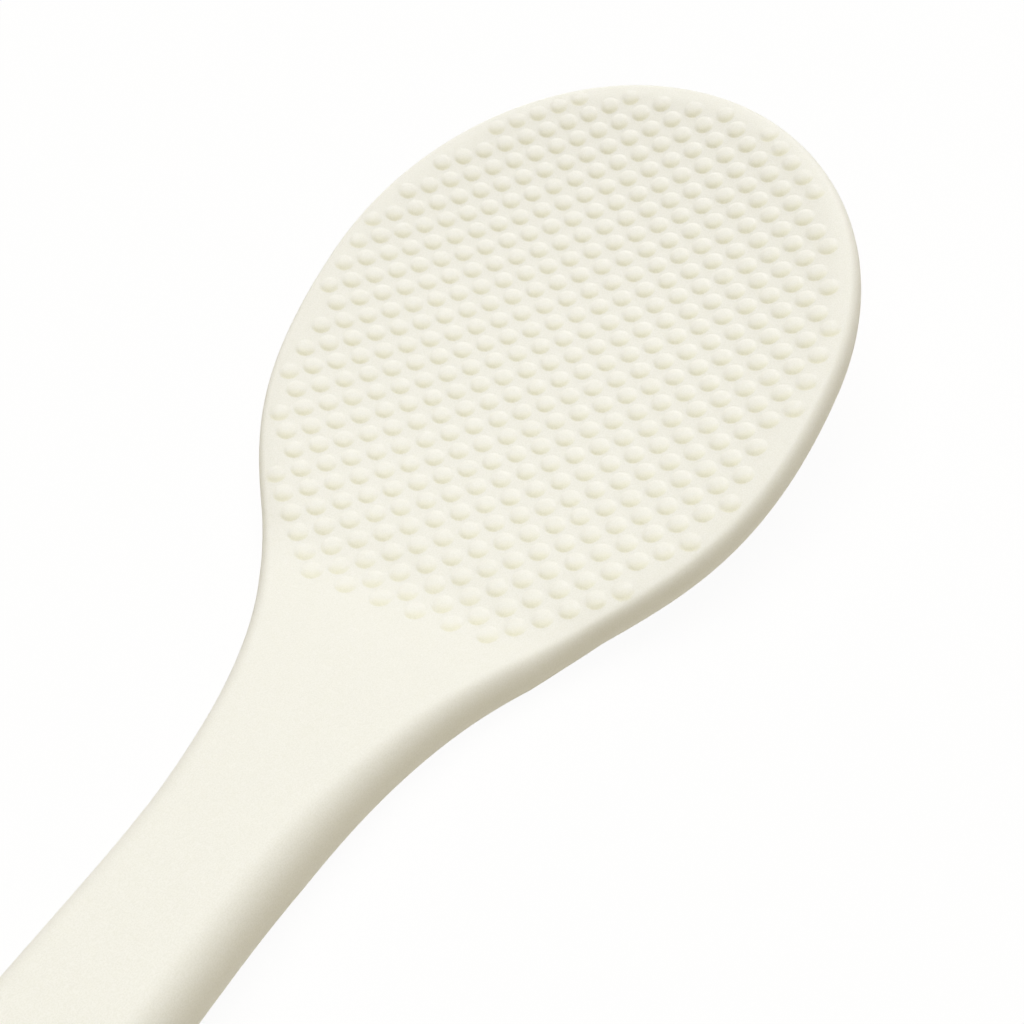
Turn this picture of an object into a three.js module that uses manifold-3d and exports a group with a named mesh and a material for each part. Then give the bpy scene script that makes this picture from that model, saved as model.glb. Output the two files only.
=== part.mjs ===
// Rice paddle: a dished blade covered with low dots and a plain rounded handle.
// A stiff core lies between an upper and a lower silicone skin that meet along the rim.
// Millimetres. +X runs from the handle's end to the blade's tip, +Y to the left, +Z up.

import * as THREE from 'three';
import { mergeGeometries, mergeVertices } from 'three/addons/utils/BufferGeometryUtils.js';
import Module from 'manifold-3d';

// Plan sizes, measured along the rim from the bend where the blade starts to rise
const HANDLE_LENGTH = 135;
const HANDLE_WIDTH = 16.5;
const HANDLE_END_ROUND = 9;
const NECK_LENGTH = 42.8;
const NECK_PULL = 52.8;
const BLADE_LENGTH = 79.7;
const BLADE_WIDTH = 67.3;
const WIDEST_STATION = 40.7;
const SHOULDER_PULL = 43.6;

// Side profile: a straight handle and a straight rim with a bend between them
const BEND_ANGLE = THREE.MathUtils.degToRad(18.8);
const BEND_RADIUS = 19;
const TAPER_LENGTH = 32;
const HANDLE_EDGE = 5.2;
const BLADE_EDGE = 1.5;

// Dish across the blade, fading in over the neck
const DISH_RADIUS = 142;
const DISH_FADE_START = -24;
const DISH_FADE_END = 4;

// Flat under the neck that the paddle rests on, from the taper's start to the heel
const HEEL_STATION = 4;
const HEEL_FLAT_DEPTH = 0.35;

// Core and skins through the thickness
const CORE_HANDLE_THICKNESS = 5.5;
const CORE_BLADE_THICKNESS = 1.7;
const SKIN = 1.2;
const RIM_COVER = 4;
const BOND_GAP = 0.3;

// Keying holes along the core, filled by pegs of the upper skin
const KEY_DIAMETER = 4;
const KEY_PITCH = 22;
const KEY_END_MARGIN = 25;

// Raised dots on the blade's face, in staggered rows
const DOT_DIAMETER = 2.2;
const DOT_HEIGHT = 0.65;
const DOT_SINK = 0.3;
const DOT_PITCH_ACROSS = 4.4;
const DOT_PITCH_ALONG = 3.88;
const DOT_FIRST_ROW = -3.6;
const DOT_MARGIN = 2.65;

// Facets
const END_STEPS = 4;
const HANDLE_STEPS = 2;
const NECK_STEPS = 14;
const FRONT_STEPS = 9;
const ACROSS_STEPS = 6;
const EDGE_STEPS = 3;
const KEY_SIDES = 8;
const DOT_SIDES = 5;

const { clamp, lerp, mapLinear, smoothstep } = THREE.MathUtils;
const halfHandle = HANDLE_WIDTH / 2;
const halfBlade = BLADE_WIDTH / 2;
const cover = SKIN + BOND_GAP;
const handleThickness = CORE_HANDLE_THICKNESS + 2 * cover;
const bladeThickness = CORE_BLADE_THICKNESS + 2 * cover;
const bendLength = BEND_RADIUS * BEND_ANGLE;

const wasm = await Module();
wasm.setup();

// Half of the plan outline as stations with outward normals, from the handle's end to the tip
function outlineStations() {
  const path = new THREE.Path();
  const endCentre = HANDLE_END_ROUND - HANDLE_LENGTH;
  path.absellipse(endCentre, 0, HANDLE_END_ROUND, halfHandle, Math.PI, Math.PI / 2, true);
  path.lineTo(-NECK_LENGTH, halfHandle);
  path.bezierCurveTo(
    NECK_PULL - NECK_LENGTH, halfHandle,
    WIDEST_STATION - SHOULDER_PULL, halfBlade,
    WIDEST_STATION, halfBlade,
  );
  const frontLength = BLADE_LENGTH - WIDEST_STATION;
  path.absellipse(WIDEST_STATION, 0, frontLength, halfBlade, Math.PI / 2, 0, true);

  const steps = [END_STEPS, HANDLE_STEPS, NECK_STEPS, FRONT_STEPS];
  const line = [{ s: -HANDLE_LENGTH, half: 0, normalS: -1, normalY: 0 }];
  path.curves.forEach((curve, index) => {
    for (let step = 1; step <= steps[index]; step++) {
      const point = curve.getPoint(step / steps[index]);
      const tangent = curve.getTangent(step / steps[index]);
      line.push({ s: point.x, half: point.y, normalS: -tangent.y, normalY: tangent.x });
    }
  });
  line[line.length - 1] = { s: BLADE_LENGTH, half: 0, normalS: 1, normalY: 0 };
  return line;
}

const stations = outlineStations();

// Half width at any place along the paddle, of the outline or of a line set in from it
function halfWidthAt(s, inset = 0) {
  const line = stations.map((st) => [st.s - inset * st.normalS, st.half - inset * st.normalY]);
  const after = line.findIndex((point) => point[0] >= s);
  if (after < 1) return 0;
  return mapLinear(s, line[after - 1][0], line[after][0], line[after - 1][1], line[after][1]);
}

// Share of the way from the handle's section to the blade's
function taperAt(s) {
  return clamp(1 + s / TAPER_LENGTH, 0, 1);
}

function thicknessAt(s) {
  return lerp(handleThickness, bladeThickness, taperAt(s));
}

// Depth of the dish below the rim
function dishAt(s, y) {
  const half = halfWidthAt(s);
  const sag = Math.max(half * half - y * y, 0) / (2 * DISH_RADIUS);
  return sag * smoothstep(s, DISH_FADE_START, DISH_FADE_END);
}

// Point of the paddle with a level handle: s along the rim, y across, depth below the rim
function placeLevel(s, y, depth) {
  const turn = clamp(s + bendLength / 2, 0, bendLength) / BEND_RADIUS;
  const handle = Math.min(s + bendLength / 2, 0);
  const blade = Math.max(s - bendLength / 2, 0);
  return new THREE.Vector3(
    handle + (BEND_RADIUS + depth) * Math.sin(turn) + blade * Math.cos(BEND_ANGLE),
    y,
    BEND_RADIUS - (BEND_RADIUS + depth) * Math.cos(turn) + blade * Math.sin(BEND_ANGLE),
  );
}

// The handle leans up to the rear, so that the neck's start and the heel stand equally low
const neckStart = placeLevel(-TAPER_LENGTH, 0, handleThickness);
const heel = placeLevel(HEEL_STATION, 0, thicknessAt(HEEL_STATION) + dishAt(HEEL_STATION, 0));
const lean = Math.atan2(heel.z - neckStart.z, heel.x - neckStart.x);
const leanAxis = new THREE.Vector3(0, 1, 0);

function place(s, y, depth) {
  return placeLevel(s, y, depth).applyAxisAngle(leanAxis, lean);
}

const restLevel = heel.applyAxisAngle(leanAxis, lean).z + HEEL_FLAT_DEPTH;

// Closed body whose edge section runs from one angle to another: 0 is the face, a half turn the underside.
// It is set in from the outline by margin and from the face and the underside by depthIn.
function slab({ startAngle, endAngle, margin, depthIn, edgeWidth }) {
  const rows = stations.map((station) => {
    const thickness = thicknessAt(station.s);
    const from = startAngle(thickness);
    const to = endAngle(thickness);
    const point = (angle, across) => {
      const inset = margin + edgeWidth(station.s) * (1 - Math.sin(angle));
      const s = station.s - inset * station.normalS;
      const y = across * (station.half - inset * station.normalY);
      const depth = lerp(depthIn, thickness - depthIn, (1 - Math.cos(angle)) / 2);
      const placed = place(s, y, depth + dishAt(s, y));
      placed.z = Math.max(placed.z, restLevel);
      return placed;
    };
    const row = [];
    for (let k = 0; k < ACROSS_STEPS; k++) row.push(point(from, 1 - 2 * k / ACROSS_STEPS));
    for (let k = 0; k < EDGE_STEPS; k++) row.push(point(lerp(from, to, k / EDGE_STEPS), -1));
    for (let k = 0; k < ACROSS_STEPS; k++) row.push(point(to, 2 * k / ACROSS_STEPS - 1));
    for (let k = 0; k < EDGE_STEPS; k++) row.push(point(lerp(to, from, k / EDGE_STEPS), 1));
    return row;
  });

  const around = rows[0].length;
  const indices = [];
  for (let row = 0; row + 1 < rows.length; row++) {
    for (let k = 0; k < around; k++) {
      const a = row * around + k;
      const b = row * around + (k + 1) % around;
      indices.push(a, b, a + around, b, b + around, a + around);
    }
  }
  const geometry = new THREE.BufferGeometry().setFromPoints(rows.flat());
  geometry.setIndex(indices);
  return solid(geometry);
}

// Manifold solid of a closed geometry, with shared corners merged and empty triangles dropped
function solid(geometry) {
  geometry.deleteAttribute('normal');
  geometry.deleteAttribute('uv');
  const merged = mergeVertices(geometry, 1e-4);
  const corners = merged.index.array;
  const kept = [];
  for (let k = 0; k < corners.length; k += 3) {
    const [a, b, c] = corners.slice(k, k + 3);
    if (a !== b && b !== c && c !== a) kept.push(a, b, c);
  }
  return new wasm.Manifold(new wasm.Mesh({
    numProp: 3,
    vertProperties: merged.attributes.position.array,
    triVerts: new Uint32Array(kept),
  }));
}

function mesh(name, body, material) {
  const { vertProperties, triVerts } = body.getMesh();
  const geometry = new THREE.BufferGeometry();
  geometry.setAttribute('position', new THREE.BufferAttribute(vertProperties, 3));
  geometry.setIndex(new THREE.BufferAttribute(triVerts, 1));
  geometry.computeVertexNormals();
  const part = new THREE.Mesh(geometry, material);
  part.name = name;
  return part;
}

// Turns a shape that stands along +Y square to the paddle's face and moves it to its place
function standOn(shape, s, y, depth) {
  const point = place(s, y, depth);
  const normal = place(s, y, depth - 1).sub(point);
  const turn = new THREE.Quaternion().setFromUnitVectors(leanAxis, normal);
  return shape.applyQuaternion(turn).translate(point.x, point.y, point.z);
}

function dots() {
  const height = DOT_HEIGHT + DOT_SINK;
  const footRadius = DOT_DIAMETER / 2 * height / DOT_HEIGHT;
  const shapes = [];
  const rowStep = DOT_PITCH_ALONG / 2;
  for (let row = 0; DOT_FIRST_ROW + row * rowStep < BLADE_LENGTH; row++) {
    const s = DOT_FIRST_ROW + row * rowStep;
    const reach = halfWidthAt(s, DOT_MARGIN);
    const shift = row % 2 === 0 ? 0 : DOT_PITCH_ACROSS / 2;
    const first = -Math.floor((reach + shift) / DOT_PITCH_ACROSS) * DOT_PITCH_ACROSS + shift;
    for (let y = first; y <= reach && reach > 0; y += DOT_PITCH_ACROSS) {
      const dot = new THREE.ConeGeometry(footRadius, height, DOT_SIDES);
      shapes.push(standOn(dot, s, y, dishAt(s, y) + DOT_SINK - height / 2));
    }
  }
  return solid(mergeGeometries(shapes));
}

// Round bars through the core at every key, between two depths below the face
function keys(radius, topDepth, bottomDepth) {
  const shapes = [];
  for (let s = KEY_END_MARGIN - HANDLE_LENGTH; s <= BLADE_LENGTH - KEY_END_MARGIN; s += KEY_PITCH) {
    const bottom = bottomDepth(thicknessAt(s));
    const bar = new THREE.CylinderGeometry(radius, radius, bottom - topDepth, KEY_SIDES);
    shapes.push(standOn(bar, s, 0, dishAt(s, 0) + (topDepth + bottom) / 2));
  }
  return solid(mergeGeometries(shapes));
}

const face = () => 0;
const underside = () => Math.PI;
const aboveParting = (thickness) => Math.acos(BOND_GAP / thickness);
const belowParting = (thickness) => Math.PI - Math.acos(BOND_GAP / thickness);
const outerEdge = (s) => lerp(HANDLE_EDGE, BLADE_EDGE, taperAt(s));

function skinHalf(startAngle, endAngle) {
  return slab({ startAngle, endAngle, margin: 0, depthIn: 0, edgeWidth: outerEdge });
}

// Body of the core, or of its recess in the skins when it is grown by the bond gap
function coreBody(grow) {
  return slab({
    startAngle: face,
    endAngle: underside,
    margin: RIM_COVER + BOND_GAP - grow,
    depthIn: cover - grow,
    edgeWidth: (s) => thicknessAt(s) / 2 - cover + grow,
  });
}

const silicone = () => new THREE.MeshStandardMaterial({ color: 0xf1efe3, roughness: 0.55, metalness: 0 });
const nylon = new THREE.MeshStandardMaterial({ color: 0xd9d5c8, roughness: 0.6, metalness: 0 });

const recess = coreBody(BOND_GAP);
const holeBars = keys(KEY_DIAMETER / 2, 0, (thickness) => thickness);
const pegBars = keys(KEY_DIAMETER / 2 - BOND_GAP, SKIN / 2, (thickness) => thickness - cover);

const core = coreBody(0).subtract(holeBars);
const upper = skinHalf(face, aboveParting).subtract(recess).add(pegBars).add(dots());
const lower = skinHalf(belowParting, underside).subtract(recess);

const paddle = new THREE.Group();
paddle.add(
  mesh('rigid_core', core, nylon),
  mesh('upper_skin', upper, silicone()),
  mesh('lower_skin', lower, silicone()),
);

// Origin under the middle of the paddle, on the surface that it rests on
const box = new THREE.Box3().setFromObject(paddle);
paddle.position.set(-(box.min.x + box.max.x) / 2, 0, -restLevel);

export default paddle;
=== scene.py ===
# Rice paddle with a dished, dotted blade: the looks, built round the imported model. Metres, +Z up.

import math

import bpy
import numpy as np
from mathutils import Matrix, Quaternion, Vector
from mathutils.geometry import delaunay_2d_cdt
from mathutils.kdtree import KDTree


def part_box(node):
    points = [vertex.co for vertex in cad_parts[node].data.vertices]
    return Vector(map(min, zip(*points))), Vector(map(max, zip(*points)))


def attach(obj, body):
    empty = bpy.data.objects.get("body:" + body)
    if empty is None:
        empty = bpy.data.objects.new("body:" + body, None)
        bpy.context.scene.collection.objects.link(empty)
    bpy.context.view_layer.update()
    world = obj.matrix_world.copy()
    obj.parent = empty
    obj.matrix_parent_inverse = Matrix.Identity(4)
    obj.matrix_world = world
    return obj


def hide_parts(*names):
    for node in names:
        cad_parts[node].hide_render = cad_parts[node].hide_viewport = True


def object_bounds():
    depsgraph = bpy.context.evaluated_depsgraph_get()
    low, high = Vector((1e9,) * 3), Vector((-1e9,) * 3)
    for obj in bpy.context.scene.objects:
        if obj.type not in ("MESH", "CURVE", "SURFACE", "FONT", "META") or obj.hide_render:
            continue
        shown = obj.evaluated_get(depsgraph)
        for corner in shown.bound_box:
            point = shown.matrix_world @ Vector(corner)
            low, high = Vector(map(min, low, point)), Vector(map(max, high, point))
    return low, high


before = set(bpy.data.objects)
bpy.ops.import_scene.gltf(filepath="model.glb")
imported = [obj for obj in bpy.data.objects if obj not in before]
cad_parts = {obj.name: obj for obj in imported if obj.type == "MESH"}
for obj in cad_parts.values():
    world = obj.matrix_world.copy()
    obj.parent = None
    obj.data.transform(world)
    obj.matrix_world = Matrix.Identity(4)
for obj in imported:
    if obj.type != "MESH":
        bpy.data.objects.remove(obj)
cad_low, cad_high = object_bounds()


# Stiff core
# A flat insert of glass-filled nylon that keeps the soft paddle straight. It is injection moulded, with a row
# of keying holes, and lies hidden inside the skin, which is bonded to it all round.

NYLON_PALE = (0.72, 0.68, 0.58, 1.0)
NYLON_DARK = (0.64, 0.60, 0.50, 1.0)
NYLON_GRAIN = 0.0004
NYLON_GRAIN_DEPTH = 0.00004
NYLON_MOTTLE = 0.006
NYLON_SMOOTHEST = 0.5
NYLON_ROUGHEST = 0.65

GRAIN_DETAIL = 2.0
MOTTLE_DETAIL = 3.0
SPECKLE_DARK = 0.35
SPECKLE_PALE = 0.65

# Places of the colour sockets on a Mix node
MIX_FIRST = 6
MIX_SECOND = 7
MIX_RESULT = 2


def moulded_grain():
    """Shared effect of a moulded surface: a fine grain height and a slow mottle, both sized in metres."""
    group = bpy.data.node_groups.new("moulded_grain", "ShaderNodeTree")
    group.interface.new_socket("Grain Size", in_out="INPUT", socket_type="NodeSocketFloat")
    group.interface.new_socket("Mottle Size", in_out="INPUT", socket_type="NodeSocketFloat")
    group.interface.new_socket("Grain", in_out="OUTPUT", socket_type="NodeSocketFloat")
    group.interface.new_socket("Mottle", in_out="OUTPUT", socket_type="NodeSocketFloat")
    sizes = group.nodes.new("NodeGroupInput")
    result = group.nodes.new("NodeGroupOutput")
    place = group.nodes.new("ShaderNodeTexCoord")
    for size, output, detail in (
        ("Grain Size", "Grain", GRAIN_DETAIL),
        ("Mottle Size", "Mottle", MOTTLE_DETAIL),
    ):
        per_metre = group.nodes.new("ShaderNodeMath")
        per_metre.operation = "DIVIDE"
        per_metre.inputs[0].default_value = 1.0
        group.links.new(sizes.outputs[size], per_metre.inputs[1])
        noise = group.nodes.new("ShaderNodeTexNoise")
        noise.inputs["Detail"].default_value = detail
        group.links.new(place.outputs["Object"], noise.inputs["Vector"])
        group.links.new(per_metre.outputs["Value"], noise.inputs["Scale"])
        group.links.new(noise.outputs["Fac"], result.inputs[output])
    return group


grain_group = moulded_grain()


def moulded_material(name, pale, dark, grain_size, grain_depth, mottle_size, smoothest, roughest):
    """Principled material with a fine grain in its colour and surface and a slow mottle in its roughness."""
    material = bpy.data.materials.new(name)
    material.use_nodes = True
    nodes = material.node_tree.nodes
    links = material.node_tree.links
    shader = nodes["Principled BSDF"]
    grain = nodes.new("ShaderNodeGroup")
    grain.node_tree = grain_group
    grain.inputs["Grain Size"].default_value = grain_size
    grain.inputs["Mottle Size"].default_value = mottle_size
    colour = nodes.new("ShaderNodeMix")
    colour.data_type = "RGBA"
    colour.inputs[MIX_FIRST].default_value = dark
    colour.inputs[MIX_SECOND].default_value = pale
    speckle = nodes.new("ShaderNodeMapRange")
    speckle.inputs["From Min"].default_value = SPECKLE_DARK
    speckle.inputs["From Max"].default_value = SPECKLE_PALE
    links.new(grain.outputs["Grain"], speckle.inputs["Value"])
    links.new(speckle.outputs["Result"], colour.inputs["Factor"])
    links.new(colour.outputs[MIX_RESULT], shader.inputs["Base Color"])
    gloss = nodes.new("ShaderNodeMapRange")
    gloss.inputs["To Min"].default_value = smoothest
    gloss.inputs["To Max"].default_value = roughest
    links.new(grain.outputs["Mottle"], gloss.inputs["Value"])
    links.new(gloss.outputs["Result"], shader.inputs["Roughness"])
    bump = nodes.new("ShaderNodeBump")
    bump.inputs["Distance"].default_value = grain_depth
    links.new(grain.outputs["Grain"], bump.inputs["Height"])
    links.new(bump.outputs["Normal"], shader.inputs["Normal"])
    return material


nylon = moulded_material(
    "core_nylon", NYLON_PALE, NYLON_DARK, NYLON_GRAIN, NYLON_GRAIN_DEPTH, NYLON_MOTTLE,
    NYLON_SMOOTHEST, NYLON_ROUGHEST)
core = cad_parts["rigid_core"]
core.data.materials.clear()
core.data.materials.append(nylon)


# Silicone skin
# The whole outside of the paddle: cream silicone, pressed round the core and cured in one seamless piece.
# Low round dots stand in staggered rows on the dished blade, so that rice does not stick to it.

# Plan, with stations along the rim from the middle of the bend between handle and blade
HANDLE_LENGTH = 0.135
HANDLE_END_ROUND = 0.009
HALF_HANDLE = 0.00825
NECK_LENGTH = 0.0428
NECK_PULL = 0.0528
BLADE_LENGTH = 0.0797
WIDEST_STATION = 0.0407
SHOULDER_PULL = 0.0436
HALF_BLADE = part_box("upper_skin")[1].y
MIRROR = np.array([1.0, -1.0])

# Side profile, edge rounds, and the dish with the heel under it
BEND_ANGLE = math.radians(18.8)
BEND_RADIUS = 0.019
BEND_LENGTH = BEND_RADIUS * BEND_ANGLE
TAPER_LENGTH = 0.032
HANDLE_THICKNESS = 0.0085
BLADE_THICKNESS = 0.0047
HANDLE_EDGE = 0.0035
BLADE_EDGE = 0.0014
DISH_RADIUS = 0.142
DISH_FADE_START = -0.024
DISH_FADE_END = 0.004
HEEL_STATION = 0.004
HEEL_FLAT_DEPTH = 0.00035

# Hollow of the dotted face, inside a narrow level crest
HOLLOW_RADIUS = 0.116
CREST_WIDTH = 0.0027
CREST_ROUND = 0.0001

# Dots, in staggered rows that keep a margin to the rim and a wider one on the neck
DOT_RADIUS = 0.00119
DOT_HEIGHT = 0.00026
DOT_FULLNESS = 3.3
DOT_FOOT_ROUND = 0.00002
DOT_PITCH_ACROSS = 0.0044
DOT_PITCH_ALONG = 0.00386
DOT_FIRST_ROW = -0.00153
DOT_MARGIN = 0.0024
DOT_FULL_MARGIN = 0.0042
DOT_RIM_SINK = 0.00006
DOT_NECK_MARGIN = 0.0055

# Steps of the mesh; each ring round a dot has a share of its radius and a number of points
END_STEPS = 40
HANDLE_STEPS = 90
NECK_STEPS = 230
FRONT_STEPS = 170
EDGE_STEPS = 18
FACE_STEP = 0.0012
DOT_RINGS = ((0.0, 1), (0.34, 6), (0.6, 11), (0.8, 15), (0.93, 18), (1.02, 20), (1.12, 20))
CREST_RINGS = (0.0004, 0.0008, 0.0013)
CLEAR_OF_EDGE = 0.00015
FILL_FROM_DOT = 0.00155

# Triangulation: its kind of result, and how near two points count as one, in face steps
TRIANGLES_INSIDE = 1
SAME_POINT = 1e-6

# Finish; a painted shade, darker and yellower, covers the handle side of each dot. Across the dot it grows
# between two shares of the radius, and it ends at the dot's foot
CREAM_PALE = (0.90, 0.897, 0.838, 1.0)
CREAM_DARK = (0.845, 0.842, 0.774, 1.0)
SILICONE_GRAIN = 0.00014
SILICONE_GRAIN_DEPTH = 0.00001
SILICONE_MOTTLE = 0.009
SILICONE_SMOOTHEST = 0.48
SILICONE_ROUGHEST = 0.6
SILICONE_IOR = 1.41
SILICONE_SOAK = 0.0004
PAINTED_DOT_SHADE = "painted_dot_shade"
PAINTED_SHADE_SPREAD = (-0.15, 1.05)
PAINTED_SHADE_FOOT = (0.97, 1.12)
PAINTED_SHADE_COLOUR = (0.985, 0.975, 0.87, 1.0)
PAINTED_SHADE_SIDE = np.array([-0.9, -0.43])


def smooth_share(value, low, high):
    share = np.clip((value - low) / (high - low), 0.0, 1.0)
    return share * share * (3.0 - 2.0 * share)


def half_outline():
    """Half of the plan outline from the handle's end to the tip: places (along, half width) and normals."""
    quarter = np.linspace(0.0, math.pi / 2, END_STEPS + 1)
    end_centre = HANDLE_END_ROUND - HANDLE_LENGTH
    end = np.column_stack([end_centre - HANDLE_END_ROUND * np.cos(quarter), HALF_HANDLE * np.sin(quarter)])
    grip_along = np.linspace(end_centre, -NECK_LENGTH, HANDLE_STEPS + 1)
    grip = np.column_stack([grip_along, np.full_like(grip_along, HALF_HANDLE)])
    share = np.linspace(0.0, 1.0, NECK_STEPS + 1)[:, None]
    pulls = np.array([
        (-NECK_LENGTH, HALF_HANDLE),
        (NECK_PULL - NECK_LENGTH, HALF_HANDLE),
        (WIDEST_STATION - SHOULDER_PULL, HALF_BLADE),
        (WIDEST_STATION, HALF_BLADE),
    ])
    rest = 1.0 - share
    neck = (rest**3 * pulls[0] + 3 * rest**2 * share * pulls[1]
            + 3 * rest * share**2 * pulls[2] + share**3 * pulls[3])
    quarter = np.linspace(0.0, math.pi / 2, FRONT_STEPS + 1)
    front_length = BLADE_LENGTH - WIDEST_STATION
    front = np.column_stack([WIDEST_STATION + front_length * np.sin(quarter), HALF_BLADE * np.cos(quarter)])
    places = np.concatenate([end, grip[1:], neck[1:], front[1:]])
    along = np.gradient(places, axis=0)
    along /= np.linalg.norm(along, axis=1)[:, None]
    normals = np.column_stack([-along[:, 1], along[:, 0]])
    places[[0, -1], 1] = 0.0
    normals[0] = (-1.0, 0.0)
    normals[-1] = (1.0, 0.0)
    return places, normals


half_places, half_normals = half_outline()
rim = np.concatenate([half_places * MIRROR, half_places[-2:0:-1]])
rim_normals = np.concatenate([half_normals * MIRROR, half_normals[-2:0:-1]])


def half_width(along, inset=0.0):
    """Half width of the plan, or of a line set in from it by one distance or by one for each station."""
    line = half_places - np.reshape(inset, (-1, 1)) * half_normals
    return np.interp(along, line[:, 0], line[:, 1], left=0.0, right=0.0)


def taper(along):
    """Share of the way from the handle's section to the blade's."""
    return np.clip(1.0 + along / TAPER_LENGTH, 0.0, 1.0)


def thickness(along):
    return HANDLE_THICKNESS + (BLADE_THICKNESS - HANDLE_THICKNESS) * taper(along)


def edge_width(along):
    return HANDLE_EDGE + (BLADE_EDGE - HANDLE_EDGE) * taper(along)


def dish(along, across):
    """Depth that the underside's dish adds below the rim."""
    sag = np.maximum(half_width(along)**2 - across**2, 0.0) / (2.0 * DISH_RADIUS)
    return sag * smooth_share(along, DISH_FADE_START, DISH_FADE_END)


def soft_larger(first, second, roundness):
    """Larger of two values, with a rounded change from one to the other."""
    return (first + second + np.sqrt((first - second)**2 + roundness**2)) / 2


def hollow_depth(along, across):
    """Depth of the blade's face between the dots: a hollow that starts inside a narrow level crest."""
    sag = (half_width(along, CREST_WIDTH)**2 - across**2) / (2.0 * HOLLOW_RADIUS)
    return soft_larger(sag, 0.0, CREST_ROUND) * smooth_share(along, DISH_FADE_START, DISH_FADE_END)


def place_level(along, across, depth):
    """Points of the paddle with a level handle: along the rim, across, and depth below the rim."""
    turn = np.clip(along + BEND_LENGTH / 2, 0.0, BEND_LENGTH) / BEND_RADIUS
    handle = np.minimum(along + BEND_LENGTH / 2, 0.0)
    blade = np.maximum(along - BEND_LENGTH / 2, 0.0)
    x = handle + (BEND_RADIUS + depth) * np.sin(turn) + blade * math.cos(BEND_ANGLE)
    z = BEND_RADIUS - (BEND_RADIUS + depth) * np.cos(turn) + blade * math.sin(BEND_ANGLE)
    return np.stack([x, across + 0.0 * x, z], axis=-1)


def leaned(points, angle):
    x = points[..., 0] * math.cos(angle) + points[..., 2] * math.sin(angle)
    z = points[..., 2] * math.cos(angle) - points[..., 0] * math.sin(angle)
    return np.stack([x, points[..., 1], z], axis=-1)


# The handle leans up to the rear, so that the neck's start and the heel stand equally low
neck_start = place_level(np.array(-TAPER_LENGTH), 0.0, HANDLE_THICKNESS)
heel_depth = thickness(HEEL_STATION) + dish(HEEL_STATION, 0.0)
heel = place_level(np.array(HEEL_STATION), 0.0, heel_depth)
lean = math.atan2(heel[2] - neck_start[2], heel[0] - neck_start[0])
rest_level = leaned(heel, lean)[2] + HEEL_FLAT_DEPTH


def place(along, across, depth):
    """Points of the paddle as it lies, cut flat where it rests."""
    points = leaned(place_level(along, across, depth), lean)
    points[..., 2] = np.maximum(points[..., 2], rest_level) - rest_level
    return points


def dot_places():
    """Middles of the dots, in staggered rows along the hollow's arc that end a margin inside the rim."""
    middles = []
    row_step = DOT_PITCH_ALONG / 2
    for row, along in enumerate(np.arange(DOT_FIRST_ROW, BLADE_LENGTH, row_step)):
        reach = half_width(along, DOT_MARGIN if along > 0.0 else DOT_NECK_MARGIN)
        shift = DOT_PITCH_ACROSS / 2 * ((row + 1) % 2)
        first = -math.floor((reach + shift) / DOT_PITCH_ACROSS) * DOT_PITCH_ACROSS + shift
        for arc in np.arange(first, reach, DOT_PITCH_ACROSS):
            middles.append((along, HOLLOW_RADIUS * math.sin(arc / HOLLOW_RADIUS)))
    return np.array(middles)


def nearest(middles, points):
    """Number of the nearest middle to each point of the plan, and the distance to it."""
    tree = KDTree(len(middles))
    for number, (along, across) in enumerate(middles):
        tree.insert((along, across, 0.0), number)
    tree.balance()
    found = [tree.find((along, across, 0.0)) for along, across in points]
    return np.array([number for _, number, _ in found]), np.array([distance for _, _, distance in found])


dots = dot_places()
dot_margins = nearest(rim, dots)[1]
dot_sinks = DOT_RIM_SINK * (1.0 - smooth_share(dot_margins, DOT_MARGIN, DOT_FULL_MARGIN))


def dot_lift(points):
    """Height of the dots over the hollow: low domes with a rounded foot, sunk a little beside the rim."""
    number, distance = nearest(dots, points)
    dome = DOT_HEIGHT * (1.0 - (distance / DOT_RADIUS)**DOT_FULLNESS)
    return soft_larger(dome - dot_sinks[number], 0.0, DOT_FOOT_ROUND)


def painted_dot_shade(points):
    """Share of the painted shade on each dot, growing towards the dot's handle side, which is the flank
    turned away from the soft box.
    """
    number, distance = nearest(dots, points)
    sideways = (points - dots[number]) @ PAINTED_SHADE_SIDE / DOT_RADIUS
    on_dot = 1.0 - smooth_share(distance / DOT_RADIUS, *PAINTED_SHADE_FOOT)
    return smooth_share(sideways, *PAINTED_SHADE_SPREAD) * on_dot


def inside(points, inset):
    """Which points of the plan lie inside a line set in from the rim."""
    return np.abs(points[:, 1]) < half_width(points[:, 0], inset)


def grid_points(step, inset):
    """Points in staggered rows over the plan, kept inside a line set in from the rim."""
    points = []
    for row, along in enumerate(np.arange(-HANDLE_LENGTH, BLADE_LENGTH, step)):
        for across in np.arange(-HALF_BLADE, HALF_BLADE, step) + step / 2 * (row % 2):
            points.append((along, across))
    points = np.array(points)
    return points[inside(points, inset)]


def dot_ring_points():
    """Rings of points over each dot, close together where the dot meets the face."""
    rings = []
    for share, count in DOT_RINGS:
        turns = np.arange(count) * 2.0 * math.pi / count
        ring = share * DOT_RADIUS * np.column_stack([np.cos(turns), np.sin(turns)])
        rings.append((dots[:, None, :] + ring).reshape(-1, 2))
    return np.concatenate(rings)


def fill_loop(loop, points):
    """Triangles in a loop of the plan, through the given points: corners and triples of their numbers."""
    corners = [Vector(p) for p in np.concatenate([loop, points]) / FACE_STEP]
    count = len(loop)
    edges = [(k, (k + 1) % count) for k in range(count)]
    made, _, faces, _, _, _ = delaunay_2d_cdt(corners, edges, [], TRIANGLES_INSIDE, SAME_POINT)
    return np.array(made) * FACE_STEP, np.array(faces)


def edge_ring(angle):
    """Line round the rim: on the face at angle 0, furthest out at a quarter turn, below at a half turn."""
    inset = edge_width(rim[:, 0]) * (1.0 - math.sin(angle))
    plan = rim - inset[:, None] * rim_normals
    along, across = plan.T
    lower = (1.0 - math.cos(angle)) / 2
    depth = (thickness(along) + dish(along, across)) * lower + hollow_depth(along, across) * (1.0 - lower)
    return plan, place(along, across, depth)


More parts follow.
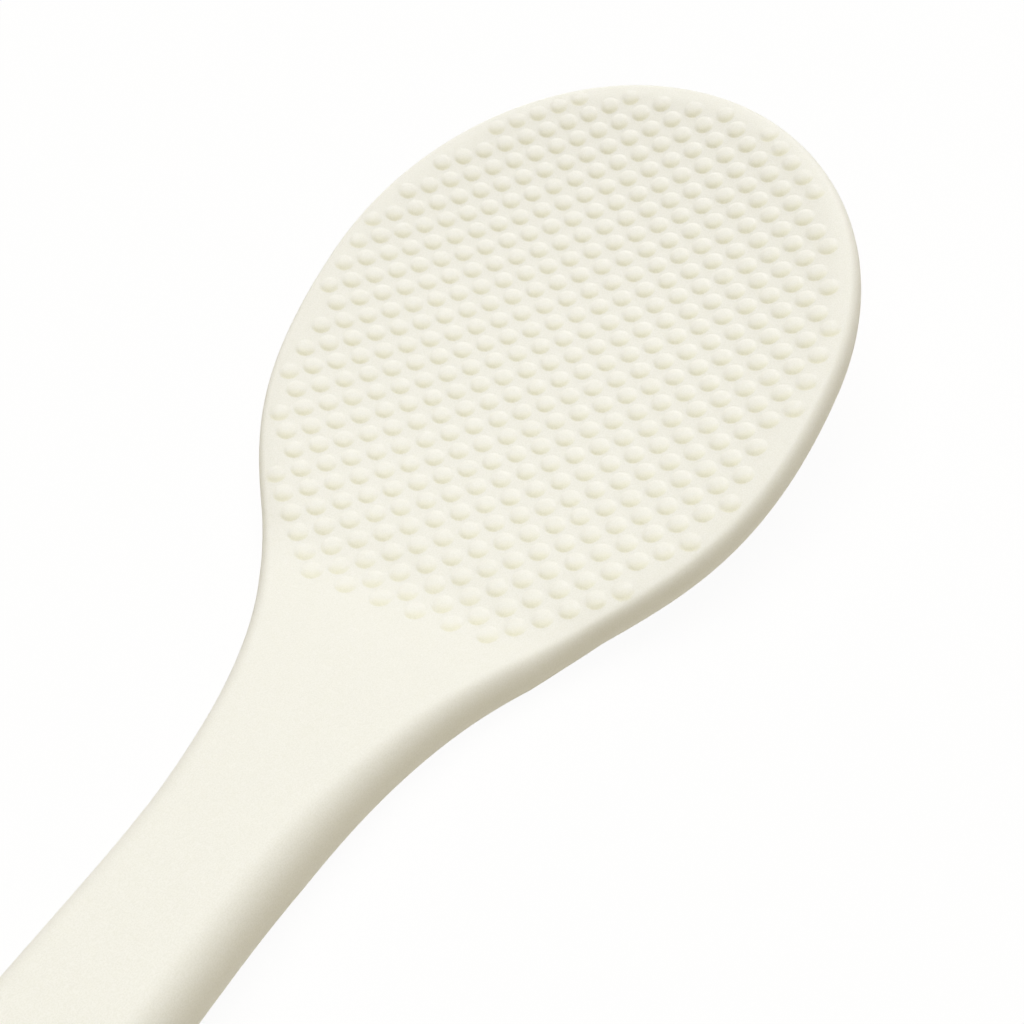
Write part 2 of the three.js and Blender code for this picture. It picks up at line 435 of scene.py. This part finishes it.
def skin_mesh():
    """Closed mesh of the skin: the dotted face, the rounded rim and the underside."""
    loop, _ = edge_ring(0.0)
    inside_edge = edge_width(half_places[:, 0]) + CLEAR_OF_EDGE
    rings = dot_ring_points()
    rings = rings[inside(rings, inside_edge)]
    inset = edge_width(rim[:, 0])[:, None]
    crest = np.concatenate([rim - (inset + further) * rim_normals for further in CREST_RINGS])
    fill = np.concatenate([crest, grid_points(FACE_STEP, inside_edge + CREST_RINGS[-1])])
    fill = fill[nearest(dots, fill)[1] > FILL_FROM_DOT]
    face, face_triangles = fill_loop(loop, np.concatenate([rings, fill]))
    depth = hollow_depth(face[:, 0], face[:, 1]) - dot_lift(face)
    corners = [place(face[:, 0], face[:, 1], depth)]
    faces = face_triangles.tolist()

    count = len(rim)
    numbers = [np.arange(count)]
    total = len(face)
    for step in range(1, EDGE_STEPS):
        corners.append(edge_ring(math.pi * step / EDGE_STEPS)[1])
        numbers.append(total + np.arange(count))
        total += count
    loop, _ = edge_ring(math.pi)
    under, under_triangles = fill_loop(loop, grid_points(FACE_STEP, inside_edge))
    depth = thickness(under[:, 0]) + dish(under[:, 0], under[:, 1])
    corners.append(place(under[:, 0], under[:, 1], depth))
    faces += (under_triangles[:, ::-1] + total).tolist()
    numbers.append(total + np.arange(count))
    for upper, lower in zip(numbers, numbers[1:]):
        quads = np.column_stack([upper, lower, np.roll(lower, -1), np.roll(upper, -1)])
        faces += quads.tolist()

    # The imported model's origin is under the middle of its length, so the tip gives the place along it
    corners = np.concatenate(corners)
    corners[:, 0] += cad_high.x - corners[:, 0].max()
    mesh = bpy.data.meshes.new("silicone_skin")
    mesh.from_pydata(corners.tolist(), [], faces)
    mesh.shade_smooth()
    # Painted shade: each face point stores how far its dot's handle side is darkened in the colour
    painted_shade = np.zeros(len(corners))
    painted_shade[:len(face)] = painted_dot_shade(face)
    mesh.attributes.new(PAINTED_DOT_SHADE, "FLOAT", "POINT").data.foreach_set("value", painted_shade)
    return mesh


def silicone_material():
    """Cream silicone that light soaks into, with a painted shade multiplied into its colour on the handle
    side of each dot.
    """
    material = moulded_material(
        "cream_silicone", CREAM_PALE, CREAM_DARK, SILICONE_GRAIN, SILICONE_GRAIN_DEPTH, SILICONE_MOTTLE,
        SILICONE_SMOOTHEST, SILICONE_ROUGHEST)
    nodes = material.node_tree.nodes
    links = material.node_tree.links
    shader = nodes["Principled BSDF"]
    # Painted shade: the stored share multiplies the colour towards a darker, yellower cream on each dot's
    # handle side, in place of a shaded flank
    shade_share = nodes.new("ShaderNodeAttribute")
    shade_share.attribute_name = PAINTED_DOT_SHADE
    shade_mix = nodes.new("ShaderNodeMix")
    shade_mix.data_type = "RGBA"
    shade_mix.blend_type = "MULTIPLY"
    shade_mix.inputs[MIX_SECOND].default_value = PAINTED_SHADE_COLOUR
    links.new(shade_share.outputs["Fac"], shade_mix.inputs["Factor"])
    links.new(shader.inputs["Base Color"].links[0].from_socket, shade_mix.inputs[MIX_FIRST])
    links.new(shade_mix.outputs[MIX_RESULT], shader.inputs["Base Color"])
    shader.inputs["IOR"].default_value = SILICONE_IOR
    shader.inputs["Subsurface Weight"].default_value = 1.0
    shader.inputs["Subsurface Radius"].default_value = (1.0, 1.0, 1.0)
    shader.inputs["Subsurface Scale"].default_value = SILICONE_SOAK
    return material


skin = bpy.data.objects.new("silicone_skin", skin_mesh())
bpy.context.collection.objects.link(skin)
skin.data.materials.append(silicone_material())
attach(skin, "root")
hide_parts("upper_skin", "lower_skin")


# Floor and backdrop
# A wide flat sheet of white studio paper that the paddle lies on. Where the camera sees it, it glows nearly
# white, as if it had lamps of its own, and it still takes the paddle's soft shadow.

FLOOR_HALF = 6.0
FLOOR_DROP = 0.0001
FLOOR_GLOW = 0.95
CORNER_SIGNS = ((-1, -1), (1, -1), (1, 1), (-1, 1))
PAPER = (0.91, 0.88, 0.81, 1.0)


def seen_directly(nodes, links):
    """Share of 1 for rays from the camera, a mirror or glass, and 0 for rays that light the paddle."""
    light_path = nodes.new("ShaderNodeLightPath")
    share = light_path.outputs["Is Camera Ray"]
    for ray in ("Is Glossy Ray", "Is Transmission Ray"):
        either = nodes.new("ShaderNodeMath")
        either.operation = "MAXIMUM"
        links.new(share, either.inputs[0])
        links.new(light_path.outputs[ray], either.inputs[1])
        share = either.outputs["Value"]
    return share


def paper_material():
    """Matt paper that is mostly glow to rays that see it directly, and plain paper to all others."""
    material = bpy.data.materials.new("studio_paper")
    material.use_nodes = True
    nodes = material.node_tree.nodes
    links = material.node_tree.links
    paper = nodes["Principled BSDF"]
    paper.inputs["Base Color"].default_value = PAPER
    paper.inputs["Roughness"].default_value = 1.0
    paper.inputs["Specular IOR Level"].default_value = 0.0
    glow = nodes.new("ShaderNodeEmission")
    part = nodes.new("ShaderNodeMath")
    part.operation = "MULTIPLY"
    part.inputs[1].default_value = FLOOR_GLOW
    links.new(seen_directly(nodes, links), part.inputs[0])
    mix = nodes.new("ShaderNodeMixShader")
    links.new(part.outputs["Value"], mix.inputs["Fac"])
    links.new(paper.outputs["BSDF"], mix.inputs[1])
    links.new(glow.outputs["Emission"], mix.inputs[2])
    links.new(mix.outputs["Shader"], nodes["Material Output"].inputs["Surface"])
    return material


floor_mesh = bpy.data.meshes.new("floor")
floor_corners = [(x * FLOOR_HALF, y * FLOOR_HALF, -FLOOR_DROP) for x, y in CORNER_SIGNS]
floor_mesh.from_pydata(floor_corners, [], [(0, 1, 2, 3)])
floor = bpy.data.objects.new("floor", floor_mesh)
bpy.context.collection.objects.link(floor)
floor.data.materials.append(paper_material())


# Studio light
# One wide, slightly cool soft box hangs over the paddle, a little towards the tip and the left side. A faint
# warm light comes from all round, from a backdrop that looks white to the camera and in reflections.

AMBIENT = 0.23
WARM = (1.0, 0.83, 0.43, 1.0)
WHITE = (1.0, 1.0, 1.0, 1.0)
KEY_SIZE = 2.0
KEY_DISTANCE = 2.0
KEY_RISE = math.radians(77.0)
KEY_TURN = math.radians(15.0)
KEY_POWER = 45.7
KEY_TINT = (0.92, 0.94, 1.0)
KEY_AIM = Vector((0.05, 0.0, 0.01))


def direction(rise, turn):
    """Unit vector that rises from the level by one angle and turns from +X towards +Y by another."""
    level = math.cos(rise)
    return Vector((level * math.cos(turn), level * math.sin(turn), math.sin(rise)))


world = bpy.data.worlds.new("studio")
bpy.context.scene.world = world
world.use_nodes = True
world_nodes = world.node_tree.nodes
world_links = world.node_tree.links
ambient = world_nodes["Background"]
ambient.inputs["Color"].default_value = WARM
ambient.inputs["Strength"].default_value = AMBIENT
backdrop = world_nodes.new("ShaderNodeBackground")
backdrop.inputs["Color"].default_value = WHITE
sky = world_nodes.new("ShaderNodeMixShader")
world_links.new(seen_directly(world_nodes, world_links), sky.inputs["Fac"])
world_links.new(ambient.outputs["Background"], sky.inputs[1])
world_links.new(backdrop.outputs["Background"], sky.inputs[2])
world_links.new(sky.outputs["Shader"], world_nodes["World Output"].inputs["Surface"])

key_lamp = bpy.data.lights.new("soft_box", "AREA")
key_lamp.shape = "SQUARE"
key_lamp.size = KEY_SIZE
key_lamp.energy = KEY_POWER
key_lamp.color = KEY_TINT
key = bpy.data.objects.new("soft_box", key_lamp)
bpy.context.collection.objects.link(key)
towards_key = direction(KEY_RISE, KEY_TURN)
key.location = KEY_AIM + KEY_DISTANCE * towards_key
key.rotation_mode = "QUATERNION"
key.rotation_quaternion = towards_key.to_track_quat("Z", "Y")


# Camera
# It stands above the paddle, to the right of the handle, and looks down across the blade, as the photograph
# does, so the handle's end is out of view. Its place, angles and lens were fitted to the outline and dots.

CAMERA_PLACE = Vector((-0.0446, -0.06189, 0.1132))
VIEW_TURN = math.radians(32.91)
VIEW_FALL = math.radians(46.04)
VIEW_ROLL = math.radians(-7.03)
FOCAL_LENGTH = 47.36
SENSOR_WIDTH = 36.0
NEAREST_SEEN = 0.005

camera_data = bpy.data.cameras.new("camera")
camera_data.lens = FOCAL_LENGTH
camera_data.sensor_width = SENSOR_WIDTH
camera_data.clip_start = NEAREST_SEEN
camera = bpy.data.objects.new("camera", camera_data)
bpy.context.collection.objects.link(camera)
look = direction(-VIEW_FALL, VIEW_TURN)
camera.location = CAMERA_PLACE
camera.rotation_mode = "QUATERNION"
camera.rotation_quaternion = look.to_track_quat("-Z", "Y") @ Quaternion((0.0, 0.0, 1.0), VIEW_ROLL)
bpy.context.scene.camera = camera
bpy.context.scene.view_settings.view_transform = "Standard"
